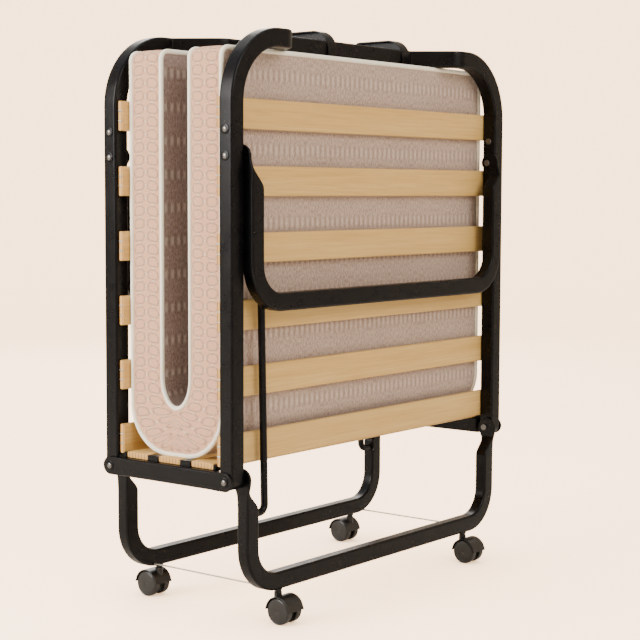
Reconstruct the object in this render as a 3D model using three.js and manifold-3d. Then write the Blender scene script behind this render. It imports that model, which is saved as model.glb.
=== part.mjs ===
// Folding cot on casters, folded upright: two slatted leaves hinged to a short middle frame,
// with the mattress bent in a U between them. Millimetres, +Z up, X across the cot's width,
// Y from the front leaf to the back leaf. The origin is on the floor, at the middle.
import * as THREE from 'three';
import { mergeVertices } from 'three/addons/utils/BufferGeometryUtils.js';
import Module from 'manifold-3d';

const wasm = await Module();
wasm.setup();

// ---- driving dimensions ------------------------------------------------------------------
const WIDTH = 868;              // across the outer faces of a leaf's two posts
const DEPTH = 306;              // from the front leaf's outer face to the back leaf's
const TUBE_WIDE = 33;           // leaf tube across X, and up in the head bar
const TUBE_DEEP = 30;           // leaf tube across Y
const TUBE_ROUND = 4;           // rounding of the tube's corners
const TOP = 1049;               // top of a leaf, above the floor
const HINGE_Z = 269;            // height of the leaf hinges
const LEG_PIVOT_Z = 826;        // height of the end leg's pivot on a leaf
const STOP_Z = 871;             // height of the stop rivet above it
const CORNER_RADIUS = 116;      // centre line radius of a leaf's top corners
const GAP = 0.3;                // clearance kept between touching pieces

const HEAD_INSET = 158;         // from a post's outer face to where the head bar bends inwards
const HEAD_JOG = 60;            // length across X of the bent stretch
const HEAD_SHIFT = 80;          // how far the head bar's middle stands in from the leaf

const SLAT_WIDTH = 53;
const SLAT_THICK = 11;
const SLAT_INSET = 7;           // from a post's outer face to a slat's end
const SLAT_COUNT = 6;
const SLAT_PITCH = 116.2;
const SLAT_TOP_Z = 900;         // height of the highest slat's middle

const RAIL_LAP = 4;             // thickness of a side rail's flattened ends
const RAIL_HEIGHT = 33;
const RAIL_DEPTH = 26;          // size of the side rail's tube across X
const MIDDLE_SLAT_PITCH = 78;

const LEG_OUT = 34;             // from a post's outer face to a leg tube's outer face
const LEG_WIDE = 32;            // leg tube across X
const LEG_DEEP = 25;            // leg tube across Y
const LEG_PLATE = 5;            // thickness of a leg's flattened end
const LEG_CORNER = 68;          // centre line radius of a leg's lower corners
const MIDDLE_LEG_Y = 7;         // from a leaf's outer face to a middle leg's centre
const MIDDLE_LEG_BOTTOM = 62;   // height of the middle leg's underside
const END_LEG_Y = -5.5;         // from a leaf's outer face to the end leg's centre
const END_LEG_DROP = 268;       // from the end leg's pivot down to its underside
const LEG_NECK = 22;            // from a pivot down to where a leg's flattened end starts to swell
const LEG_SWELL = 34;           // length of the swelling
const LEG_EYE = 20;             // radius of the flattened end's round top
const EYE_SHIFT = 6;            // from the pivot out to the middle of that round

const PIN_RADIUS = 4;
const PIN_HEAD = 7.5;
const PIN_HEAD_HIGH = 3;

const ROD_RADIUS = 6.5;
const ROD_LOW_X = 104;          // from a post's outer face to the link rod's axis at its foot
const ROD_HIGH_X = 90;          // and at its top
const ROD_DROP = 66;            // from a hinge down to the link rod's pivot, and the same at the leg
const ROD_BEND = 14;
const LUG_THICK = 6;            // lug on a leg that takes a crank of the rod
const LUG_EYE = 11;

const HOOP_WIDE = 20;
const HOOP_THICK = 3;
const HOOP_RISE = 17;           // clear height of a hoop over the head bar
const HOOP_REACH = 116;         // from the head bar's outer face to the hoop's free end
const HOOP_BEND = 22;
const HOOP_X = [-57, 186];

const MATTRESS_WIDE = 814;
const MATTRESS_THICK = 83;
const MATTRESS_TOP = 1012;
const MATTRESS_SPLIT = 392;     // height of the fold's inner end
const MATTRESS_CORNER = 84;
const MATTRESS_CLEAR = 0.5;     // between the mattress and the slats

const WHEEL_RADIUS = 24;
const WHEEL_WIDE = 15;
const WHEEL_SPACE = 13;         // between a caster's two wheels
const AXLE_RADIUS = 3.5;
const CASTER_X = 132;           // from a post's outer face to a caster's stem
const CASTER_TRAIL = 15;        // from the stem's axis to the axle
const STEM_RADIUS = 4.5;

const WIRE_RADIUS = 1.5;

// ---- places worked out from them ---------------------------------------------------------
const halfWidth = WIDTH / 2;
const halfDepth = DEPTH / 2;
const postX = halfWidth - TUBE_WIDE / 2;
const leafY = halfDepth - TUBE_DEEP / 2;
const slatY = halfDepth - TUBE_DEEP - GAP - SLAT_THICK / 2;
const legX = halfWidth - LEG_OUT - LEG_WIDE / 2;
const legInner = halfWidth - LEG_OUT - LEG_WIDE;
const railTop = HINGE_Z + RAIL_HEIGHT / 2;
const middleSlatZ = railTop + GAP + SLAT_THICK / 2;
const stemTop = MIDDLE_LEG_BOTTOM + 14;
const mattressFloor = railTop + SLAT_THICK + GAP + MATTRESS_CLEAR;
const mattressOut = slatY - SLAT_THICK / 2 - MATTRESS_CLEAR;

const X_AXIS = new THREE.Vector3(1, 0, 0);
const Y_AXIS = new THREE.Vector3(0, 1, 0);
const Z_AXIS = new THREE.Vector3(0, 0, 1);
const point = (x, y, z) => new THREE.Vector3(x, y, z);

// ---- materials ---------------------------------------------------------------------------
const look = (color, roughness, metalness) =>
  new THREE.MeshStandardMaterial({ color, roughness, metalness });
const materials = {
  black_paint: look(0x1b1918, 0.45, 0.4),
  steel_wire: look(0xb9b7b2, 0.35, 0.9),
  rivet: look(0x2a2828, 0.35, 0.7),
  wood: look(0xd6b684, 0.6, 0),
  ticking: look(0xcdb5ac, 0.9, 0),
  caster_plastic: look(0x232221, 0.4, 0),
  wheel_plastic: look(0x3a3837, 0.5, 0),
};

const cot = new THREE.Group();

function place(name, geometry, material, parent = cot) {
  const mesh = new THREE.Mesh(geometry, materials[material]);
  mesh.name = name;
  parent.add(mesh);
  return mesh;
}

// ---- joining and cutting -----------------------------------------------------------------
function toSolid(geometry) {
  const bare = geometry.clone();
  bare.deleteAttribute('normal');
  bare.deleteAttribute('uv');
  const merged = mergeVertices(bare, 1e-4);
  return new wasm.Manifold(new wasm.Mesh({
    numProp: 3,
    vertProperties: new Float32Array(merged.attributes.position.array),
    triVerts: new Uint32Array(merged.index.array),
  }));
}

function toGeometry(solid) {
  const mesh = solid.getMesh();
  const geometry = new THREE.BufferGeometry();
  geometry.setAttribute('position', new THREE.BufferAttribute(new Float32Array(mesh.vertProperties), 3));
  geometry.setIndex(new THREE.BufferAttribute(new Uint32Array(mesh.triVerts), 1));
  geometry.computeVertexNormals();
  return geometry;
}

const join = (first, ...others) => others.reduce((sum, other) => sum.add(other), first);
const cut = (first, ...others) => others.reduce((rest, other) => rest.subtract(other), first);

// ---- plain shapes ------------------------------------------------------------------------
function roundedRect(width, height, radius) {
  const w = width / 2;
  const h = height / 2;
  const shape = new THREE.Shape();
  shape.moveTo(-w + radius, -h);
  shape.lineTo(w - radius, -h);
  shape.absarc(w - radius, -h + radius, radius, -Math.PI / 2, 0);
  shape.lineTo(w, h - radius);
  shape.absarc(w - radius, h - radius, radius, 0, Math.PI / 2);
  shape.lineTo(-w + radius, h);
  shape.absarc(-w + radius, h - radius, radius, Math.PI / 2, Math.PI);
  shape.lineTo(-w, -h + radius);
  shape.absarc(-w + radius, -h + radius, radius, Math.PI, Math.PI * 1.5);
  return shape;
}

function circle(radius) {
  const shape = new THREE.Shape();
  shape.absarc(0, 0, radius, 0, Math.PI * 2);
  return shape;
}

function box(sizeX, sizeY, sizeZ, centre) {
  return new THREE.BoxGeometry(sizeX, sizeY, sizeZ).translate(centre.x, centre.y, centre.z);
}

// A cylinder from one point to another, along any axis.
function cylinder(radius, from, to, sides = 24) {
  const along = to.clone().sub(from);
  const geometry = new THREE.CylinderGeometry(radius, radius, along.length(), sides);
  const turn = new THREE.Quaternion().setFromUnitVectors(Y_AXIS, along.clone().normalize());
  const middle = from.clone().add(to).multiplyScalar(0.5);
  return geometry.applyQuaternion(turn).translate(middle.x, middle.y, middle.z);
}

// A path made of straight runs and round bends, with a section ring only where it's needed.
class BentPath extends THREE.Curve {
  constructor(corners, radii, bendSteps = 8) {
    super();
    this.stations = [corners[0]];
    for (let i = 1; i < corners.length - 1; i += 1) {
      this.stations.push(...BentPath.bend(corners[i - 1], corners[i], corners[i + 1], radii[i - 1], bendSteps));
    }
    this.stations.push(corners[corners.length - 1]);
  }

  static bend(before, corner, after, radius, steps) {
    const inward = before.clone().sub(corner).normalize();
    const outward = after.clone().sub(corner).normalize();
    const half = inward.angleTo(outward) / 2;
    const setback = radius / Math.tan(half);
    const centreWay = inward.clone().add(outward).normalize();
    const centre = corner.clone().addScaledVector(centreWay, radius / Math.sin(half));
    const start = corner.clone().addScaledVector(inward, setback).sub(centre);
    const axis = inward.clone().negate().cross(outward).normalize();
    const turn = Math.PI - 2 * half;
    const points = [];
    for (let i = 0; i <= steps; i += 1) {
      points.push(start.clone().applyAxisAngle(axis, (turn * i) / steps).add(centre));
    }
    return points;
  }

  get spans() {
    return this.stations.length - 1;
  }

  getPoint(t, target = new THREE.Vector3()) {
    return target.copy(this.stations[Math.round(t * this.spans)]);
  }

  getPointAt(u, target) {
    return this.getPoint(u, target);
  }

  getTangentAt(u, target = new THREE.Vector3()) {
    const i = Math.round(u * this.spans);
    const here = this.stations[i];
    const back = this.stations[Math.max(i - 1, 0)];
    const ahead = this.stations[Math.min(i + 1, this.spans)];
    target.set(0, 0, 0);
    if (i > 0) target.add(here.clone().sub(back).normalize());
    if (i < this.spans) target.add(ahead.clone().sub(here).normalize());
    return target.normalize();
  }
}

function sweep(section, path, curveSegments) {
  const settings = { steps: path.spans, extrudePath: path, curveSegments, bevelEnabled: false };
  return new THREE.ExtrudeGeometry(section, settings);
}

// A flat outline drawn in Y and Z, given its thickness along X.
function plateAcrossX(shape, thickness, fromX, curveSegments = 8) {
  const geometry = new THREE.ExtrudeGeometry(shape, { depth: thickness, bevelEnabled: false, curveSegments });
  return geometry.rotateZ(Math.PI / 2).rotateY(Math.PI / 2).translate(fromX, 0, 0);
}

// A flat outline drawn in X and Z, given its thickness along Y.
function plateAcrossY(shape, thickness, fromY, curveSegments = 8) {
  const geometry = new THREE.ExtrudeGeometry(shape, { depth: thickness, bevelEnabled: false, curveSegments });
  return geometry.rotateX(Math.PI / 2).translate(0, fromY + thickness, 0);
}

// ---- leaf frame --------------------------------------------------------------------------
// Drawn for the front leaf. The back leaf is the same frame turned half round.
function leafFrame() {
  const top = TOP - TUBE_WIDE / 2;
  const jogStart = halfWidth - HEAD_INSET;
  const jogEnd = jogStart - HEAD_JOG;
  const inY = -leafY + HEAD_SHIFT;
  const corners = [
    point(-postX, -leafY, HINGE_Z),
    point(-postX, -leafY, top),
    point(-jogStart, -leafY, top),
    point(-jogEnd, inY, top),
    point(jogEnd, inY, top),
    point(jogStart, -leafY, top),
    point(postX, -leafY, top),
    point(postX, -leafY, HINGE_Z),
  ];
  const bend = 34;
  const path = new BentPath(corners, [CORNER_RADIUS, bend, bend, bend, bend, CORNER_RADIUS], 5);
  const tube = toSolid(sweep(roundedRect(TUBE_DEEP, TUBE_WIDE, TUBE_ROUND), path, 1));
  const holes = [];
  const ends = [];
  for (const side of [-1, 1]) {
    const outer = point(side * (halfWidth + 1), -leafY, 0);
    const inner = point(side * (halfWidth - TUBE_WIDE - 1), -leafY, 0);
    const eyeOuter = point(side * halfWidth, -leafY, HINGE_Z);
    const eyeInner = point(side * (halfWidth - TUBE_WIDE), -leafY, HINGE_Z);
    ends.push(toSolid(cylinder(TUBE_DEEP / 2, eyeInner, eyeOuter, 20)));
    for (const height of [HINGE_Z, LEG_PIVOT_Z, STOP_Z]) {
      holes.push(toSolid(cylinder(PIN_RADIUS + GAP, inner.clone().setZ(height), outer.clone().setZ(height), 12)));
    }
  }
  return toGeometry(cut(join(tube, ...ends), ...holes));
}

function slat(length) {
  const section = roundedRect(SLAT_THICK, SLAT_WIDTH, 3);
  const geometry = new THREE.ExtrudeGeometry(section, { depth: length, bevelEnabled: false, curveSegments: 2 });
  return geometry.translate(0, 0, -length / 2).rotateZ(Math.PI / 2).rotateY(Math.PI / 2);
}

// ---- legs --------------------------------------------------------------------------------
// A U of tube whose two ends are pressed flat and pivot inside the leaf's posts.
// y is the tube's centre, pivotY and pivotZ the pivot's, bottom the height of its underside.
function legFrame(y, pivotY, pivotZ, bottom) {
  const low = bottom + LEG_WIDE / 2;
  const swellTop = pivotZ - LEG_NECK;
  const corners = [
    point(-legX, y, swellTop),
    point(-legX, y, low),
    point(legX, y, low),
    point(legX, y, swellTop),
  ];
  const path = new BentPath(corners, [LEG_CORNER, LEG_CORNER], 7);
  const tube = toSolid(sweep(roundedRect(LEG_DEEP, LEG_WIDE, TUBE_ROUND), path, 1));
  const added = [];
  const removed = [];
  for (const side of [-1, 1]) {
    const outX = halfWidth - LEG_OUT;
    const wedge = new THREE.Shape();
    wedge.moveTo(side * (outX - LEG_PLATE), swellTop + 1);
    wedge.lineTo(side * (outX - LEG_WIDE - 1), swellTop + 1);
    wedge.lineTo(side * (outX - LEG_WIDE - 1), swellTop - LEG_SWELL);
    wedge.lineTo(side * (outX - LEG_PLATE), swellTop - 3);
    removed.push(toSolid(plateAcrossY(wedge, LEG_DEEP + 2, y - LEG_DEEP / 2 - 1)));
    added.push(toSolid(legEye(side, y, pivotY, pivotZ, swellTop)));
    const inner = point(side * (outX - LEG_WIDE), pivotY, pivotZ);
    const outer = point(side * (outX + 1), pivotY, pivotZ);
    removed.push(toSolid(cylinder(PIN_RADIUS + GAP, inner, outer, 12)));
  }
  return cut(join(tube, ...added), ...removed);
}

// The flattened end: round about the pivot, and as wide as the tube where it meets it.
function legEye(side, y, pivotY, pivotZ, swellTop) {
  const outX = halfWidth - LEG_OUT;
  const foot = swellTop - 8;
  const shape = new THREE.Shape();
  shape.moveTo(y - LEG_DEEP / 2, foot);
  shape.lineTo(y + LEG_DEEP / 2, foot);
  shape.lineTo(pivotY - EYE_SHIFT + LEG_EYE, pivotZ);
  shape.absarc(pivotY - EYE_SHIFT, pivotZ, LEG_EYE, 0, Math.PI);
  shape.closePath();
  const from = side > 0 ? outX - LEG_PLATE : -outX;
  return plateAcrossX(shape, LEG_PLATE, from, 8);
}

// ---- middle frame ------------------------------------------------------------------------
// A side rail: a tube between the posts, pressed flat at both ends to lap over their outer faces.
function sideRail(side) {
  const outX = halfWidth + GAP + RAIL_LAP;
  const lapFrom = side > 0 ? outX - RAIL_LAP : -outX;
  const lap = new THREE.Shape();
  lap.absarc(leafY, HINGE_Z, RAIL_HEIGHT / 2, -Math.PI / 2, Math.PI / 2);
  lap.absarc(-leafY, HINGE_Z, RAIL_HEIGHT / 2, Math.PI / 2, Math.PI * 1.5);
  const flat = toSolid(plateAcrossX(lap, RAIL_LAP, lapFrom, 10));
  const length = 2 * (leafY - TUBE_DEEP);
  const centre = point(side * (outX - RAIL_DEPTH / 2), 0, HINGE_Z);
  const tube = toSolid(box(RAIL_DEPTH, length, RAIL_HEIGHT, centre));
  const holes = [-leafY, leafY].map((y) => {
    const inner = point(side * (halfWidth - 1), y, HINGE_Z);
    const outer = point(side * (outX + 1), y, HINGE_Z);
    return toSolid(cylinder(PIN_RADIUS + GAP, inner, outer, 12));
  });
  return toGeometry(cut(join(flat, tube), ...holes));
}

// A rivet along X: a domed head outside, a shank and a flat head inside.
function rivet(outerX, innerX) {
  const profile = [
    new THREE.Vector2(0, innerX - PIN_HEAD_HIGH),
    new THREE.Vector2(PIN_HEAD - 1, innerX - PIN_HEAD_HIGH),
    new THREE.Vector2(PIN_HEAD - 1, innerX - GAP),
    new THREE.Vector2(PIN_RADIUS, innerX - GAP),
    new THREE.Vector2(PIN_RADIUS, outerX + GAP),
    new THREE.Vector2(PIN_HEAD, outerX + GAP),
    new THREE.Vector2(PIN_HEAD * 0.8, outerX + GAP + PIN_HEAD_HIGH * 0.6),
    new THREE.Vector2(PIN_HEAD * 0.4, outerX + GAP + PIN_HEAD_HIGH * 0.95),
    new THREE.Vector2(0, outerX + GAP + PIN_HEAD_HIGH),
  ];
  return new THREE.LatheGeometry(profile, 12).rotateZ(-Math.PI / 2);
}

function placeRivet(name, side, y, z, outerX, innerX, parent) {
  const pin = place(name, rivet(outerX, innerX), 'rivet', parent);
  pin.position.set(0, y, z);
  if (side < 0) pin.rotation.z = Math.PI;
}

// ---- link rod ----------------------------------------------------------------------------
// A round rod cranked at both ends; the cranks are its own pivots.
function linkRod() {
  const low = HINGE_Z - ROD_DROP;
  const high = LEG_PIVOT_Z - ROD_DROP;
  const socket = -legInner + 2 * GAP;
  const corners = [
    point(socket, -leafY, low),
    point(-halfWidth + ROD_LOW_X, -leafY, low),
    point(-halfWidth + ROD_HIGH_X, -leafY, high),
    point(socket, -leafY, high),
  ];
  const path = new BentPath(corners, [ROD_BEND, ROD_BEND], 5);
  return sweep(circle(ROD_RADIUS), path, 5);
}

// A leg with the lug on its inner side that takes a crank of the rod, and the crank's hole.
function withRodLug(leg, y, z) {
  const shape = new THREE.Shape();
  shape.moveTo(y, z - LUG_EYE);
  shape.lineTo(-leafY, z - LUG_EYE);
  shape.absarc(-leafY, z, LUG_EYE, -Math.PI / 2, Math.PI / 2);
  shape.lineTo(y, z + LUG_EYE);
  shape.closePath();
  const lug = toSolid(plateAcrossX(shape, LUG_THICK + 1, -legInner - 1));
  const from = point(-legInner + GAP, -leafY, z);
  const to = point(-legInner + LUG_THICK + 1, -leafY, z);
  return cut(join(leg, lug), toSolid(cylinder(ROD_RADIUS + GAP, from, to)));
}

function middleLeg() {
  const y = -halfDepth + MIDDLE_LEG_Y;
  const frame = legFrame(y, -leafY, HINGE_Z, MIDDLE_LEG_BOTTOM);
  const sockets = [-1, 1].map((side) => {
    const x = side * (halfWidth - CASTER_X);
    const low = point(x, y, MIDDLE_LEG_BOTTOM - 2);
    const high = point(x, y, stemTop + 1);
    return toSolid(cylinder(STEM_RADIUS + GAP, low, high, 16));
  });
  return toGeometry(cut(withRodLug(frame, y, HINGE_Z - ROD_DROP), ...sockets));
}

function endLeg() {
  const y = -halfDepth + END_LEG_Y;
  const frame = legFrame(y, -leafY, LEG_PIVOT_Z, LEG_PIVOT_Z - END_LEG_DROP);
  return toGeometry(withRodLug(frame, y, LEG_PIVOT_Z - ROD_DROP));
}

// ---- retaining hoops ---------------------------------------------------------------------
// A flat band bent over the head bar, to keep the mattress's end down.
function hoop(x) {
  const half = HOOP_THICK / 2;
  const barOut = -halfDepth + HEAD_SHIFT;
  const y = barOut - GAP - half;
  const top = TOP + HOOP_RISE + half;
  const free = barOut + HOOP_REACH;
  const corners = [
    point(x, y, TOP - TUBE_WIDE + 2),
    point(x, y, top),
    point(x, free, top),
    point(x, free, TOP + 4),
  ];
  const path = new BentPath(corners, [HOOP_BEND, HOOP_BEND / 2], 6);
  return sweep(roundedRect(HOOP_THICK, HOOP_WIDE, 0.8), path, 1);
}

// ---- mattress ----------------------------------------------------------------------------
function mattressHalf() {
  const height = MATTRESS_TOP - MATTRESS_SPLIT - GAP;
  const centre = point(0, -mattressOut + MATTRESS_THICK / 2, MATTRESS_TOP - height / 2);
  return box(MATTRESS_WIDE, MATTRESS_THICK, height, centre);
}

function mattressFold() {
  const shape = new THREE.Shape();
  const r = MATTRESS_CORNER;
  shape.moveTo(mattressOut, MATTRESS_SPLIT);
  shape.lineTo(-mattressOut, MATTRESS_SPLIT);
  shape.absarc(-mattressOut + r, mattressFloor + r, r, Math.PI, Math.PI * 1.5);
  shape.absarc(mattressOut - r, mattressFloor + r, r, Math.PI * 1.5, Math.PI * 2);
  shape.closePath();
  return plateAcrossX(shape, MATTRESS_WIDE, -MATTRESS_WIDE / 2, 8);
}

// ---- casters -----------------------------------------------------------------------------
// Each is built trailing towards -Y about a stem on the Z axis, then placed under a leg.
function casterBody() {
  const hoodInner = WHEEL_RADIUS + 1;
  const hoodOuter = hoodInner + 2;
  const shape = new THREE.Shape();
  shape.absarc(0, 0, hoodOuter, Math.PI * 0.02, Math.PI * 0.98);
  shape.absarc(0, 0, hoodInner, Math.PI * 0.98, Math.PI * 0.02, true);
  shape.closePath();
  const full = WHEEL_SPACE + 2 * WHEEL_WIDE;
  const hood = plateAcrossX(shape, full, -full / 2, 10).translate(0, -CASTER_TRAIL, WHEEL_RADIUS);
  const web = new THREE.Shape();
  web.absarc(0, 0, hoodInner + 1, Math.PI * 0.02, Math.PI * 0.98);
  web.lineTo(-9, -9);
  web.lineTo(9, -9);
  web.closePath();
  const webWide = WHEEL_SPACE - 4;
  const rib = plateAcrossX(web, webWide, -webWide / 2, 10).translate(0, -CASTER_TRAIL, WHEEL_RADIUS);
  const stem = cylinder(STEM_RADIUS, point(0, 0, 38), point(0, 0, stemTop), 16);
  const collar = cylinder(7, point(0, 0, 50), point(0, 0, MIDDLE_LEG_BOTTOM - 1), 20);
  const bore = cylinder(
    AXLE_RADIUS + GAP,
    point(-full, -CASTER_TRAIL, WHEEL_RADIUS),
    point(full, -CASTER_TRAIL, WHEEL_RADIUS),
    16,
  );
  return toGeometry(cut(join(toSolid(hood), toSolid(rib), toSolid(collar), toSolid(stem)), toSolid(bore)));
}

function wheel() {
  const bore = AXLE_RADIUS + GAP;
  const half = WHEEL_WIDE / 2;
  const profile = [
    new THREE.Vector2(bore, -half),
    new THREE.Vector2(WHEEL_RADIUS - 2, -half),
    new THREE.Vector2(WHEEL_RADIUS, -half + 2),
    new THREE.Vector2(WHEEL_RADIUS, half - 2),
    new THREE.Vector2(WHEEL_RADIUS - 2, half),
    new THREE.Vector2(bore, half),
    new THREE.Vector2(bore, -half),
  ];
  return new THREE.LatheGeometry(profile, 26).rotateZ(-Math.PI / 2);
}

function placeCaster(name, xSide, ySide) {
  const group = new THREE.Group();
  group.position.set(xSide * (halfWidth - CASTER_X), ySide * (halfDepth - MIDDLE_LEG_Y), 0);
  if (ySide > 0) group.rotation.z = Math.PI;
  cot.add(group);
  place(`${name}_caster_hood`, casterBody(), 'caster_plastic', group);
  const offset = (WHEEL_SPACE + WHEEL_WIDE) / 2;
  const axleHalf = WHEEL_SPACE / 2 + WHEEL_WIDE - 3;
  const axle = place(
    `${name}_caster_axle`,
    cylinder(AXLE_RADIUS, point(-axleHalf, 0, 0), point(axleHalf, 0, 0), 16),
    'steel_wire',
    group,
  );
  axle.position.set(0, -CASTER_TRAIL, WHEEL_RADIUS);
  for (const [label, way] of [['outer', xSide], ['inner', -xSide]]) {
    const turned = ySide > 0 ? -way : way;
    const mesh = place(`${name}_caster_${label}_wheel`, wheel(), 'wheel_plastic', group);
    mesh.position.set(turned * offset, -CASTER_TRAIL, WHEEL_RADIUS);
  }
}

// ---- tie wires ---------------------------------------------------------------------------
function tieWire(side) {
  const y = halfDepth - MIDDLE_LEG_Y - LEG_DEEP / 2 - GAP;
  const x = side * (halfWidth - CASTER_X + 26);
  const z = MIDDLE_LEG_BOTTOM + 6;
  return cylinder(WIRE_RADIUS, point(x, -y, z), point(x, y, z), 8);
}

// ---- assembly ----------------------------------------------------------------------------
for (const [leaf, half] of [['front', 0], ['back', Math.PI]]) {
  const group = new THREE.Group();
  group.rotation.z = half;
  cot.add(group);
  place(`${leaf}_leaf_frame`, leafFrame(), 'black_paint', group);
  for (let i = 0; i < SLAT_COUNT; i += 1) {
    const mesh = place(`${leaf}_slat_${i + 1}`, slat(WIDTH - 2 * SLAT_INSET), 'wood', group);
    mesh.position.set(0, -slatY, SLAT_TOP_Z - i * SLAT_PITCH);
  }
  place(`${leaf}_mattress_half`, mattressHalf(), 'ticking', group);

  place(`${leaf}_middle_leg`, middleLeg(), 'black_paint', group);
  place(`${leaf}_end_leg`, endLeg(), 'black_paint', group);
  place(`${leaf}_link_rod`, linkRod(), 'black_paint', group);

  const plateX = halfWidth - LEG_OUT - LEG_PLATE;
  const sides = half ? [['right', -1], ['left', 1]] : [['left', -1], ['right', 1]];
  for (const [word, side] of sides) {
    const outsideRail = halfWidth + GAP + RAIL_LAP;
    placeRivet(`${leaf}_${word}_hinge_rivet`, side, -leafY, HINGE_Z, outsideRail, plateX, group);
    placeRivet(`${leaf}_${word}_leg_rivet`, side, -leafY, LEG_PIVOT_Z, halfWidth, plateX, group);
    placeRivet(`${leaf}_${word}_stop_rivet`, side, -leafY, STOP_Z, halfWidth, halfWidth - TUBE_WIDE, group);
  }
}

for (const [word, x] of [['left', HOOP_X[0]], ['right', HOOP_X[1]]]) {
  place(`${word}_retaining_hoop`, hoop(x), 'black_paint');
}

for (const [word, side] of [['left', -1], ['right', 1]]) {
  place(`${word}_side_rail`, sideRail(side), 'black_paint');
  place(`${word}_tie_wire`, tieWire(side), 'steel_wire');
  placeCaster(`front_${word}`, side, -1);
  placeCaster(`back_${word}`, side, 1);
}

for (let i = 0; i < 3; i += 1) {
  const mesh = place(`middle_slat_${i + 1}`, slat(WIDTH - 2 * SLAT_INSET), 'wood');
  mesh.rotation.x = Math.PI / 2;
  mesh.position.set(0, (i - 1) * MIDDLE_SLAT_PITCH, middleSlatZ);
}
place('mattress_fold', mattressFold(), 'ticking');

export default cot;
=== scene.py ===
# Looks for the folding cot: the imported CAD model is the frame, and every visible piece here is
# finer than its CAD solid. Metres, +Z up, X across the cot, Y from the front leaf to the back leaf.
import bpy
import bmesh
import math
from collections import namedtuple
from mathutils import Matrix, Vector


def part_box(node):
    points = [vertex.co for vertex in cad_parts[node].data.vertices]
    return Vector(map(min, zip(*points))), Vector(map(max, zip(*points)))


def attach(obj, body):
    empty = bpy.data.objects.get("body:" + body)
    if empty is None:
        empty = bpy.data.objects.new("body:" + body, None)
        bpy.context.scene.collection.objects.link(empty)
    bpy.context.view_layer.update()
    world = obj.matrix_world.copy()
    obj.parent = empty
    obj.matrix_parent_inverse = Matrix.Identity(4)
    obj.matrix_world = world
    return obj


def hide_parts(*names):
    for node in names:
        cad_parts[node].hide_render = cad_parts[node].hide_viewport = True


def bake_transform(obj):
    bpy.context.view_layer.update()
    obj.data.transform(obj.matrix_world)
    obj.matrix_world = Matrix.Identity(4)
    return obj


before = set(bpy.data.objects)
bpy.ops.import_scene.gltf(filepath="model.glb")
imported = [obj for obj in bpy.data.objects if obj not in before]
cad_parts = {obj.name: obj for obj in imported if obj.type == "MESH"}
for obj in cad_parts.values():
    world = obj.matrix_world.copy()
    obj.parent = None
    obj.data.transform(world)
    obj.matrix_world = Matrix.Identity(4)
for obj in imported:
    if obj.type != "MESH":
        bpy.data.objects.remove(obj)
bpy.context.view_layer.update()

# ---- driving dimensions, the same as the CAD model's ---------------------------------------
WIDTH = 0.868
DEPTH = 0.306
TUBE_WIDE = 0.033
TUBE_DEEP = 0.030
TUBE_ROUND = 0.0045
TOP = 1.049
HINGE_Z = 0.269
LEG_PIVOT_Z = 0.826
CORNER_RADIUS = 0.116
HEAD_INSET = 0.158
HEAD_JOG = 0.060
HEAD_SHIFT = 0.080
HEAD_BEND = 0.019

SLAT_COUNT = 6
SLAT_ROUND = 0.003
END_STRIP = 0.0076              # width of the strips that a slat is glued up from

PEG_OFFSET = 0.0088
PEG_LONG = 0.0085
PEG_THICK = 0.0030

RAIL_LAP = 0.004
RAIL_HEIGHT = 0.033
RAIL_DEPTH = 0.026
RAIL_GAP = 0.0003
BLOCK_INSET = 0.0045            # the blocks between the middle slats
BLOCK_WIDE = 0.016
BLOCK_END = 0.006

LEG_OUT = 0.034
LEG_WIDE = 0.032
LEG_DEEP = 0.025
LEG_PLATE = 0.005
PLATE_ROUND = 0.0016
LEG_CORNER = 0.068
LEG_EYE = 0.020
EYE_SHIFT = 0.006
LEG_NECK = 0.022
LEG_SWELL = 0.034
MIDDLE_LEG_Y = 0.007
MIDDLE_LEG_BOTTOM = 0.062
END_LEG_Y = -0.0055
END_LEG_DROP = 0.268

ROD_RADIUS = 0.0065
ROD_LOW_X = 0.104
ROD_HIGH_X = 0.090
ROD_DROP = 0.066
ROD_BEND = 0.014

HOOP_WIDE = 0.027
HOOP_BEND = 0.036
HOOP_FAR_BEND = 0.011

RIVET_RADIUS = 0.0056
RIVET_HIGH = 0.003
WASHER_RADIUS = 0.0090

MATTRESS_WIDE = 0.814
MATTRESS_TOP = 1.012
MATTRESS_CLEAR = 0.0035          # between the slats and the mattress's sides
PLAN_CORNER = 0.016             # radius of the mattress's corners, seen flat
PIPING_RADIUS = 0.0042
BORDER_SHARE = 0.96             # how much of the thickness the border strip spans
PIPING_SHARE = 0.97             # and how far out the two pipings lie
FACE_CROWN = 0.004
CROWN_REACH = 0.05
FOLD_INNER_Z = 0.383            # height of the lowest point of the slit between the two halves
FOLD_CORNER = 0.086             # radius of the fold's outer corners
SLIT_HALF = 0.0330              # half the slit's width
SLIT_ROUND = 0.056              # height of its rounded lower end

RING_COLUMN = 0.033             # the border's pattern: rings in two columns
RING_ROW = 0.0226
BAND = 0.065                    # the faces' pattern: bands of strokes across the width
BAND_START = 0.0365
BAND_HALF = 0.011
TOOTH = 0.015

CASTER_X = 0.132
CASTER_TRAIL = 0.015
WHEEL_RADIUS = 0.024
WHEEL_WIDE = 0.015
WHEEL_SPACE = 0.013

half_width = WIDTH / 2
half_depth = DEPTH / 2
leaf_y = half_depth - TUBE_DEEP / 2
post_x = half_width - TUBE_WIDE / 2
leg_x = half_width - LEG_OUT - LEG_WIDE / 2
leg_inner = half_width - LEG_OUT - LEG_WIDE
slat_inner_y = half_depth - TUBE_DEEP - 0.0113

FLOOR_GLOW = (1.0, 0.65, 0.37, 1)
FLOOR_GLOW_STRENGTH = 4.3
SHADE_REACH = 0.16              # how far from a foot the floor is shaded

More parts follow.
